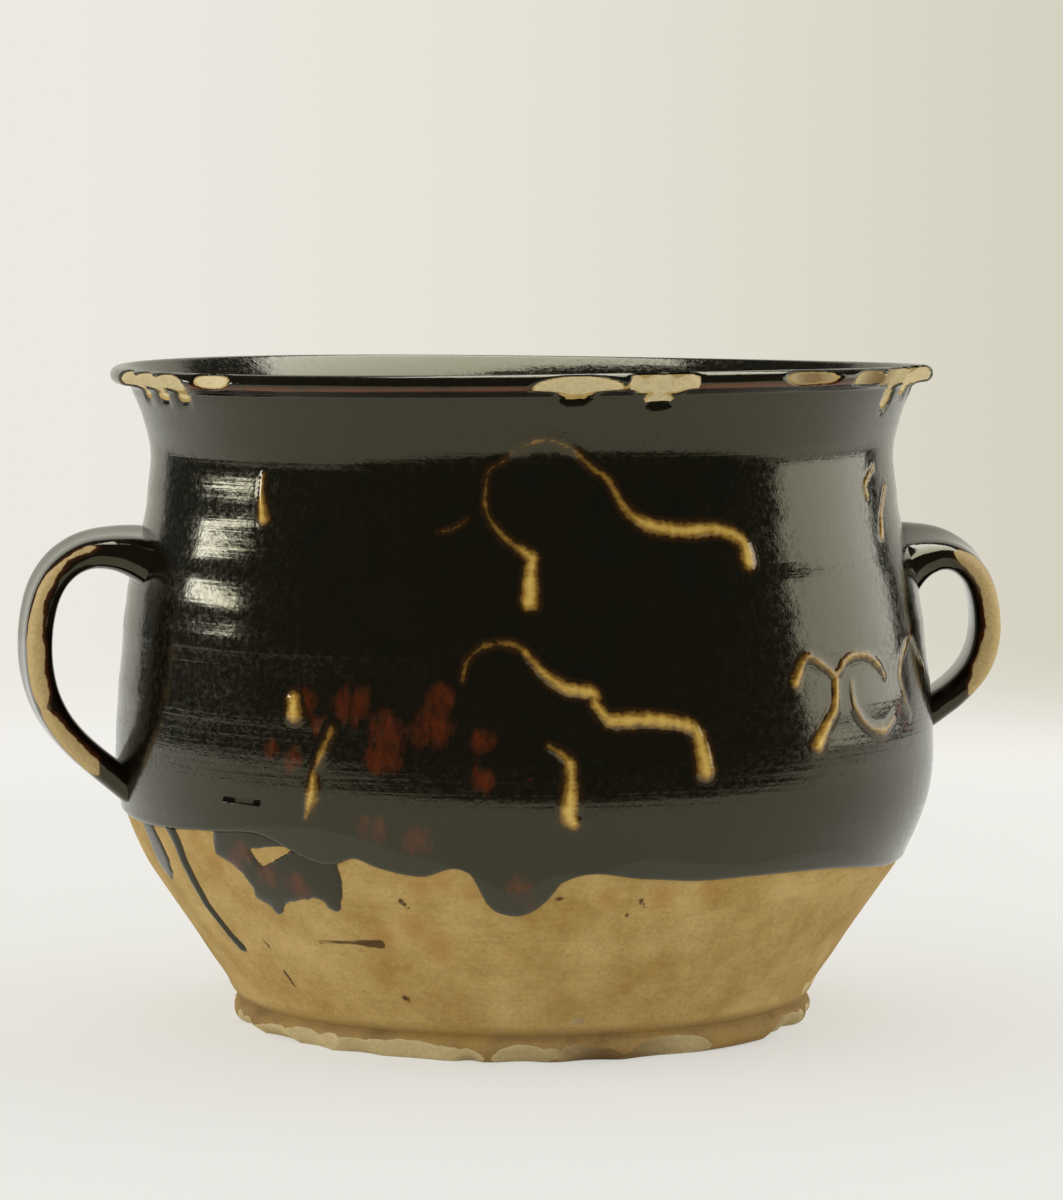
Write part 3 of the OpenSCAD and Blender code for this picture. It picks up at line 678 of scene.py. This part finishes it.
def strap(name, azimuth, root_z, out_z, tail_z, reach, twist, wear, material):
    """A strap handle: rounded sections carried along two cubics that meet at its outermost point, wider
    and deeper into its roots, turned a little about its line, with its ends closed inside the wall."""
    across_mid, deep_mid, across_root, deep_root, across_tail, deep_tail = 24, 7.6, 35, 14, 21, 8
    root = np.array([outer_r(root_z) - 2.5, root_z])
    out = np.array([reach - deep_mid / 2, out_z])
    tail = np.array([outer_r(tail_z) - 2.5, tail_z])
    upper = cubic([root, root + [0.64 * (out[0] - root[0]), 7], out + [0, 0.9 * (root_z - out_z)], out],
                  np.linspace(0, 1, 70)[:-1])
    lower = cubic([out, out - [0, 0.53 * (out_z - tail_z)],
                   tail + [0.54 * (out[0] - tail[0]), 0.29 * (out_z - tail_z)], tail], np.linspace(0, 1, 80))
    line = np.concatenate([upper, lower])
    gaps = np.hypot(*np.diff(line, axis=0).T)
    length = np.concatenate([[0], np.cumsum(gaps)])
    u = length / length[-1]
    along = np.gradient(line, axis=0)
    along /= np.linalg.norm(along, axis=1)[:, None]
    near_root = np.clip(1 - u / 0.26, 0, 1) ** 2.2
    near_tail = np.clip(1 - (1 - u) / 0.3, 0, 1) ** 2
    wide = across_mid + (across_root - across_mid) * near_root + (across_tail - across_mid) * near_tail
    deep = deep_mid + (deep_root - deep_mid) * near_root + (deep_tail - deep_mid) * near_tail
    section = 44
    a = (np.arange(section) + 0.5) * 2 * np.pi / section
    side = np.sign(np.cos(a)) * np.abs(np.cos(a)) ** 0.62
    face = np.sign(np.sin(a)) * np.abs(np.sin(a)) ** 0.68
    dish = np.where(face > 0, 1 - 0.16 * np.exp(-(side / 0.55) ** 2), 1.0)
    s = wide[:, None] / 2 * side
    f = deep[:, None] / 2 * face * dish
    s = s + 0.22 * uneven(np.degrees(u)[:, None] * 2 + 0 * s, 40 + 9 * side + 0 * s, 9, 41)
    f = f + 0.16 * uneven(np.degrees(u)[:, None] * 2 + 0 * s, 90 + 9 * side + 0 * s, 12, 42) * (face > 0)
    turned = np.radians(np.interp(u, *np.array(twist).T))[:, None]
    s, f = s * np.cos(turned) - f * np.sin(turned), s * np.sin(turned) + f * np.cos(turned)
    reach_at = line[:, :1] - f * along[:, 1:]
    z_at = line[:, 1:] + f * along[:, :1]
    b = np.radians(azimuth)
    x = reach_at * np.sin(b) + s * np.cos(b)
    y = -reach_at * np.cos(b) + s * np.sin(b)
    points = np.stack([x, y, z_at], axis=-1).reshape(-1, 3) / 1000
    rows = len(line)
    quads = grid_faces(rows, section, True)
    ends = np.stack([points[:section].mean(axis=0), points[-section:].mean(axis=0)])
    one = np.arange(section)
    two = (one + 1) % section
    total = len(points)
    start_cap = np.stack([np.full(section, total), two, one], axis=1)
    end_cap = np.stack([np.full(section, total + 1), total - section + one, total - section + two], axis=1)
    front = -1 if azimuth > 0 else 1
    corner = np.hypot((front * side - 0.93) * wide[:, None] / 2, (face - 0.55) * deep[:, None] / 2)
    worn = corner - np.interp(u, *np.array(wear).T)[:, None]
    faces = quads.tolist() + start_cap.tolist() + end_cap.tolist()
    values = {"worn": np.append(np.ravel(worn), [9, 9])}
    piece = make_piece(name, np.concatenate([points, ends]), faces, material, values)
    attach(piece, "root")
    return piece


# The same dark glaze on the handles, rubbed through along the edges to buff clay with a thin brown border
handle_glaze = new_material("dark lead glaze worn on the handles")
place = add(handle_glaze, "TexCoord", {})["Object"]
clouds = add(handle_glaze, "TexNoise", {"Vector": place, "Scale": 110.0, "Detail": 6.0, "Roughness": 0.6})[0]
pits = add(handle_glaze, "TexNoise", {"Vector": place, "Scale": 1100.0, "Detail": 2.0})[0]
peel = add(handle_glaze, "TexNoise", {"Vector": place, "Scale": 240.0, "Detail": 2.0})[0]
worn = add(handle_glaze, "Attribute", {}, attribute_name="worn")["Fac"]
worn_wavy = add(handle_glaze, "Math", {0: clouds, 1: 4.0, 2: worn}, operation="MULTIPLY_ADD")[0]
bare = add(handle_glaze, "MapRange", {"Value": worn_wavy, "From Min": 2.1, "From Max": 1.8})[0]
thin = add(handle_glaze, "MapRange", {"Value": worn_wavy, "From Min": 3.2, "From Max": 2.1})[0]
body_tone = add(handle_glaze, "Mix", {0: clouds, 6: linear("#0c0a06"), 7: linear("#1b130a")},
                data_type="RGBA")[2]
thin_tone = add(handle_glaze, "Mix", {0: thin, 6: body_tone, 7: linear("#4a2510")}, data_type="RGBA")[2]
clay_part = add(handle_glaze, "Mix", {0: pits, 6: linear("#a88a55"), 7: linear("#d8bf88")},
                data_type="RGBA")[2]
handle_tone = add(handle_glaze, "Mix", {0: bare, 6: thin_tone, 7: clay_part}, data_type="RGBA")[2]
gloss = add(handle_glaze, "MapRange", {"Value": bare, "To Min": 0.09, "To Max": 0.75})[0]
handle_height = add(handle_glaze, "Math", {0: pits, 1: 0.35, 2: peel}, operation="MULTIPLY_ADD")[0]
handle_bump = add(handle_glaze, "Bump", {"Height": handle_height, "Strength": 0.2, "Distance": 0.0002})[0]
handle_shader = add(handle_glaze, "BsdfPrincipled", {"Base Color": handle_tone, "Roughness": gloss,
                                                     "IOR": 1.6, "Normal": handle_bump,
                                                     "Specular Tint": (1.0, 0.97, 0.66, 1.0)})[0]
finish_material(handle_glaze, handle_shader)

left_wear = [(0, -3), (.12, -3), (.18, .6), (.3, 1.2), (.36, 1.8), (.5, 2.8), (.62, 2.4), (.66, 1.0),
             (.72, 2.6), (.86, 2.8), (.92, -3), (1, -3)]
right_wear = [(0, -3), (.16, -3), (.22, 1.4), (.3, 2.6), (.5, 3.6), (.7, 3.4), (.78, 1.4), (.84, -3), (1, -3)]
left_handle = strap("left_handle_strap", -86, 120, 98, 61, 129, [(0, -8), (.3, -3), (1, 0)], left_wear,
                    handle_glaze)
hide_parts("left_handle")
right_handle = strap("right_handle_strap", 86, 118, 101, 76, 124, [(0, 20), (.12, 14), (.35, 5), (1, 0)],
                     right_wear, handle_glaze)
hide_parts("right_handle")

# Trailed slip: pale liquid clay poured in thin lines from a trailer over the coat, which dripped and soaked
# in, so each line stands low and rounded, is yellow where it is full, and has a brown border where thin.
trail_high = 0.55
halo_wide = 1.3

slip_glaze = new_material("yellow slip under lead glaze")
place = add(slip_glaze, "TexCoord", {})["Object"]
mottle = add(slip_glaze, "TexNoise", {"Vector": place, "Scale": 420.0, "Detail": 4.0, "Roughness": 0.65})[0]
slip_peel = add(slip_glaze, "TexNoise", {"Vector": place, "Scale": 260.0, "Detail": 2.0})[0]
full = add(slip_glaze, "Attribute", {}, attribute_name="full")["Fac"]
pale = add(slip_glaze, "Attribute", {}, attribute_name="pale")["Fac"]
soaked = add(slip_glaze, "Math", {0: pale, 1: 1.5, 2: full}, operation="MULTIPLY_ADD")[0]
full_wavy = add(slip_glaze, "Math", {0: mottle, 1: 2.4, 2: soaked}, operation="MULTIPLY_ADD")[0]
border = add(slip_glaze, "MapRange", {"Value": full_wavy, "From Min": 1.2, "From Max": 3.0,
                                      "To Min": 0.0, "To Max": 0.8})[0]
heart = add(slip_glaze, "MapRange", {"Value": full_wavy, "From Min": 2.5, "From Max": 3.9})[0]
sheen = add(slip_glaze, "MapRange", {"Value": full_wavy, "From Min": 3.4, "From Max": 4.8})[0]
clouds = add(slip_glaze, "TexNoise", {"Vector": place, "Scale": 70.0, "Detail": 5.0, "Roughness": 0.6})[0]
dark = add(slip_glaze, "Mix", {0: clouds, 6: linear("#0a0906"), 7: linear("#171209")}, data_type="RGBA")[2]
film = add(slip_glaze, "Mix", {0: border, 6: dark, 7: linear("#3d2409")}, data_type="RGBA")[2]
amber = add(slip_glaze, "Mix", {0: heart, 6: film, 7: linear("#a87f33")}, data_type="RGBA")[2]
slip_tone = add(slip_glaze, "Mix", {0: sheen, 6: amber, 7: linear("#dbb961")}, data_type="RGBA")[2]
slip_bump = add(slip_glaze, "Bump", {"Height": slip_peel, "Strength": 0.3, "Distance": 0.0002})[0]
slip_shader = add(slip_glaze, "BsdfPrincipled", {"Base Color": slip_tone, "Roughness": 0.13, "IOR": 1.6,
                                                 "Normal": slip_bump,
                                                 "Specular Tint": (1.0, 0.97, 0.66, 1.0)})[0]
finish_material(slip_glaze, slip_shader)


def trail(name, lines, nodes):
    """Slip lines [azimuth, height, width, how full]: low rounded ridges on the coat, with a thin film
    round them, laid on as one piece."""
    smooth = [smooth_line(line) for line in lines]
    every = np.concatenate(smooth)
    low, high = every[:, :2].min(axis=0), every[:, :2].max(axis=0)

    def height(az, z):
        gap = np.full(az.shape, 1e3)
        fullness = np.zeros(az.shape)
        for line in smooth:
            mine, share = near_line(az, z, line)
            here = np.interp(share, np.linspace(0, 1, len(line)), line[:, 3])
            fullness = np.where(mine < gap, here, fullness)
            gap = np.minimum(gap, mine)
        gap = gap + 0.22 * uneven(az * 5, z * 5, 6, 51)
        inside = np.clip(-gap / 1.9, 0, 1)
        ridge = trail_high * (1 - (1 - inside) ** 2) * np.clip(fullness * 1.3 - 0.15, 0.1, 1)
        film_high = 0.04 * (1 - np.maximum(gap, 0) / halo_wide)
        return coat_thick + film_high + ridge * (gap < 0) - 0.1 * np.clip(gap - halo_wide, 0, 4), {
            "full": -gap, "pale": fullness}

    margin = halo_wide + 1.8 + every[:, 2].max() / 2
    piece = laid_on(name, (low[0] - margin / 1.7, high[0] + margin / 1.7), (low[1] - margin, high[1] + margin),
                    0.4, height, slip_glaze, tuck=-0.36)
    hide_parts(*nodes)
    return piece


upper_swag = [(-6.5, 124.6, 3.5, .9), (-8.4, 127.1, 3.2, .6), (-10.9, 130.4, 3, .4), (-12.9, 136.2, 3, .2),
              (-12.6, 144.7, 3, .12), (-11, 147, 3, .12), (-7.9, 150.8, 3, .15), (-4.4, 152.6, 3, .2),
              (-.8, 150.4, 3, .25), (1.8, 146.3, 3, .4), (4.5, 142.7, 3, .5), (5.9, 138.4, 3, .6),
              (8, 134.1, 3.2, .8), (11, 131.6, 3.6, 1), (16, 130.6, 3.6, 1), (20.5, 130.8, 3.4, 1),
              (23.4, 129.3, 3.4, 1), (25.1, 126.8, 3.8, 1), (25.4, 122.8, 4.4, 1)]
trail("upper_swag_slip", [upper_swag], ["upper_swag"])
trail("upper_swag_drip_slip", [[(-6.5, 124, 3.4, .9), (-6.8, 119.5, 4, 1), (-6.8, 114.6, 4.6, 1)]],
      ["upper_swag_drip"])
trail("upper_dash_slip", [[(-19.8, 130.7, 1.6, .25), (-17.5, 131.4, 2, .4), (-15.5, 133.8, 1.4, .3)]],
      ["upper_dash"])
lower_swag = [(-15.9, 96.4, 2.6, .15), (-15, 101.3, 2.8, .2), (-12.6, 104.4, 3, .35), (-8.9, 104.4, 3, .5),
              (-6.6, 100.7, 3, .6), (-5.1, 97.6, 3.2, .8), (-2.3, 94.3, 3.4, 1), (1, 93.3, 3.2, 1),
              (1.4, 90.7, 3, .9), (3.3, 86.9, 3.6, 1), (6.1, 86.8, 4, 1), (10.6, 86.4, 3.8, 1),
              (14.1, 84.7, 3.4, 1), (15.5, 80.8, 3.6, 1), (16.1, 73.9, 4.6, 1)]
trail("lower_swag_slip", [lower_swag], ["lower_swag"])
trail("centre_drip_slip", [[(-4.7, 80.8, 2.6, .5), (-2.3, 77.5, 3.4, .7), (-2, 72.3, 3.8, .75),
                            (-2.2, 64.8, 4.4, 1), (-1.6, 62.8, 3.8, .8)]], ["centre_drip"])
trail("left_drop_slip", [[(-48.6, 142.9, 2.6, .5), (-48.5, 138, 3, .7), (-48, 132.8, 3.6, 1)]],
      ["left_drop"])
trail("left_spot_slip", [[(-39.8, 90.6, 3.6, 1), (-39.6, 86.8, 4.4, 1)]], ["left_spot"])
trail("left_streak_slip", [[(-33.9, 84, 2.8, .45), (-35, 78.9, 3, .55), (-36.4, 73.8, 2.6, .55),
                            (-36.7, 68.5, 3.6, .9), (-37.6, 62.9, 2.4, .6)]], ["left_streak"])
trail("right_scroll_slip", [[(31.1, 93.4, 3, 1), (33.6, 99.5, 2.6, .8), (37, 96.8, 2.6, .6),
                             (39.1, 94.6, 2.8, .8), (41.8, 98.4, 2.6, .8), (46.2, 98.5, 2.6, .7),
                             (49.5, 95.5, 2.6, .7), (50.7, 92.6, 2.6, .5)]], ["right_scroll"])
trail("scroll_drip_slip", [[(39, 93.4, 2.8, .9), (38.2, 87, 2.8, .9), (36, 82, 3.2, 1), (34.5, 78.3, 4.4, 1)]],
      ["scroll_drip"])
trail("right_loop_slip", [[(42.2, 92.4, 2.4, .4), (42.5, 86.4, 2.6, .5), (45.6, 81.1, 2.6, .5),
                           (49.5, 79.7, 2.8, .7), (52.4, 82.2, 2.6, .6)]], ["right_loop"])
trail("right_oval_slip", [[(58.2, 82, 2.2, .4), (55.8, 89.3, 2.4, .6), (56.2, 94.5, 2.4, .7),
                           (61.2, 101.2, 2.2, .6), (65.3, 96.1, 2.2, .5), (68.7, 91.8, 2.2, .4)]],
      ["right_oval"])
trail("right_drops_slip", [[(58.5, 143.2, 2.4, .8), (54.5, 139.5, 2.4, .9), (54.7, 136.3, 2.8, 1)],
                           [(63.7, 138.8, 2.4, .9), (60.7, 133.6, 2.6, 1), (58, 126.1, 2.8, 1)]],
      ["right_drops"])


def turned_back(line, turn, drop=0.0):
    return [(a + turn, z - drop, wide, fullness) for a, z, wide, fullness in line]


# The same ornament goes on round the back, freely repeated
trail("back_upper_swag_slip", [turned_back(upper_swag, 180)], ["back_upper_swag"])
trail("back_lower_swag_slip", [turned_back(lower_swag, 180)], ["back_lower_swag"])
back_scroll = [(31.1, 93.4, 3, 1), (33.6, 99.5, 2.6, .8), (37, 96.8, 2.6, .6), (39.1, 94.6, 2.8, .8),
               (41.8, 98.4, 2.6, .8), (46.2, 98.5, 2.6, .7), (51, 93, 2.6, .7), (52, 89, 2.6, .5)]
trail("back_scroll_slip", [turned_back(back_scroll, 180)], ["back_scroll"])
trail("back_drops_slip", [[(138, 142, 3.4, .7), (139, 132, 4.2, 1)], [(150, 86, 3.6, .9), (149, 76, 4.4, 1)],
                          [(214, 82, 3.4, .8), (213.5, 73, 4.4, 1)]], ["back_drops"])

# The floor is a round of pale matt paper under the pot, which fades into a pale backdrop behind it. Mirror
# rays see it only near the pot, because the studio in front of it is dark.
floor_r = 1.3
floor_mesh = bpy.data.meshes.new("floor")
a = np.arange(96) * 2 * np.pi / 96
ring_points = np.stack([floor_r * np.cos(a), floor_r * np.sin(a), 0 * a - 0.00005], axis=1)
floor_mesh.from_pydata(ring_points.tolist(), [], [list(range(96))])
floor = bpy.data.objects.new("floor", floor_mesh)
bpy.context.scene.collection.objects.link(floor)
paper = new_material("pale matt paper")
place = add(paper, "TexCoord", {})["Object"]
reach = add(paper, "VectorMath", {0: place}, operation="LENGTH")["Value"]
ray = add(paper, "LightPath", {})
seen_edge = add(paper, "MapRange", {"Value": reach, "From Min": 0.4, "From Max": 0.9},
                interpolation_type="SMOOTHSTEP")[0]
forward = add(paper, "VectorMath", {0: place, 1: (0.139, -0.99, 0.0)}, operation="DOT_PRODUCT")["Value"]
mirror_edge = add(paper, "MapRange", {"Value": forward, "From Min": 0.41, "From Max": 0.44},
                  interpolation_type="SMOOTHSTEP")[0]
fade = add(paper, "Mix", {0: ray["Is Glossy Ray"], 2: seen_edge, 3: mirror_edge})[0]
paper_matt = add(paper, "BsdfPrincipled", {"Base Color": linear("#f3f2ee"), "Roughness": 0.9,
                                           "Specular IOR Level": 0.1})[0]
paper_white = add(paper, "Emission", {"Color": linear("#f5f4ef")})[0]
not_matt = add(paper, "Math", {0: ray["Is Camera Ray"], 1: ray["Is Glossy Ray"]}, operation="MAXIMUM")[0]
white_share = add(paper, "Math", {0: not_matt, 1: 0.55}, operation="MULTIPLY")[0]
paper_shader = add(paper, "MixShader", {0: white_share, 1: paper_matt, 2: paper_white})[0]
clear = add(paper, "BsdfTransparent", {})[0]
finish_material(paper, add(paper, "MixShader", {0: fade, 1: paper_shader, 2: clear})[0])
floor_mesh.materials.append(paper)

# Plain soft light: a pale surround for matt surfaces, a pale backdrop behind the pot, a broad soft light on
# the right, a small one at the left behind the pot, and one overhead
world = bpy.data.worlds.new("studio")
bpy.context.scene.world = world
world.use_nodes = True
world.node_tree.nodes.clear()
direction = add(world, "TexCoord", {})["Generated"]
parts = add(world, "SeparateXYZ", {0: direction})
ray = add(world, "LightPath", {})
right_share = add(world, "MapRange", {"Value": parts["X"], "From Min": 0.139, "From Max": 0.26})[0]
left_share = add(world, "MapRange", {"Value": parts["X"], "From Min": 0.14, "From Max": 0.04})[0]
mid_tone = add(world, "Mix", {0: left_share, 6: linear("#e5e1d5"), 7: linear("#ece9e2")}, data_type="RGBA")[2]
high_tone = add(world, "Mix", {0: right_share, 6: mid_tone, 7: linear("#d5d1c1")}, data_type="RGBA")[2]
low_part = add(world, "MapRange", {"Value": parts["Z"], "From Min": -0.084, "From Max": -0.124},
               interpolation_type="SMOOTHSTEP")[0]
seen_tone = add(world, "Mix", {0: low_part, 6: high_tone, 7: linear("#f4f3ee")}, data_type="RGBA")[2]
away = add(world, "VectorMath", {0: direction, 1: (0.139, 0.99, 0.0)}, operation="DOT_PRODUCT")["Value"]
behind = add(world, "MapRange", {"Value": away, "From Min": 0.75, "From Max": 0.78},
             interpolation_type="SMOOTHSTEP")[0]
mirror_tone = add(world, "Mix", {0: behind, 6: (0.05, 0.054, 0.05, 1), 7: linear("#e2ded2")},
                  data_type="RGBA")[2]
leftward = add(world, "MapRange", {"Value": parts["X"], "From Min": 0.7, "From Max": -0.9})[0]
soft_tone = add(world, "Mix", {0: leftward, 6: (0.52, 0.52, 0.5, 1), 7: (1.0, 0.99, 0.96, 1)},
                data_type="RGBA")[2]
matt_tone = add(world, "Mix", {0: ray["Is Glossy Ray"], 6: soft_tone, 7: mirror_tone},
                data_type="RGBA")[2]
world_tone = add(world, "Mix", {0: ray["Is Camera Ray"], 6: matt_tone, 7: seen_tone}, data_type="RGBA")[2]
world_light = add(world, "Background", {"Color": world_tone, "Strength": 1.0})[0]
add(world, "OutputWorld", {"Surface": world_light})


def soft_light(name, azimuth, distance, height, size, radiance, colour):
    """A rectangular lamp at an azimuth, turned to the pot, with its power set from its radiance."""
    lamp = bpy.data.lights.new(name, "AREA")
    lamp.shape = "RECTANGLE"
    lamp.size, lamp.size_y = size
    lamp.energy = radiance * 4 * size[0] * size[1]
    lamp.color = colour
    light = bpy.data.objects.new(name, lamp)
    bpy.context.scene.collection.objects.link(light)
    b = np.radians(azimuth)
    spot = Vector((distance * np.sin(b), -distance * np.cos(b), height))
    light.location = spot
    light.rotation_euler = (Vector((0, 0, 0.1)) - spot).to_track_quat("-Z", "Y").to_euler()
    light.visible_camera = False
    return light


soft_light("right soft light", 95, 0.9, 0.24, (0.76, 0.38), 1.8, (1, 0.98, 0.92))
soft_light("left rear light", -106, 1.2, 0.31, (0.5, 0.11), 8.0, (1, 0.98, 0.94))
overhead = soft_light("overhead light", 135, 0.42, 1.25, (1.1, 0.9), 4.2, (1, 0.99, 0.96))
overhead.visible_diffuse = False
soft_light("overhead light on matt surfaces", 135, 0.42, 1.25, (1.1, 0.9), 1.3, (1, 0.99, 0.96))

# The camera stands 1.15 m from the pot, a little above its rim and a little to the left of its front
camera_data = bpy.data.cameras.new("camera")
camera_data.lens = 134.03
camera_data.sensor_width = 36
camera = bpy.data.objects.new("camera", camera_data)
camera.location = (-0.157, -1.1351, 0.1952)
camera.rotation_euler = np.radians([90 - 4.381, 0, -8])
bpy.context.scene.collection.objects.link(camera)
bpy.context.scene.camera = camera
bpy.context.scene.view_settings.view_transform = "Standard"
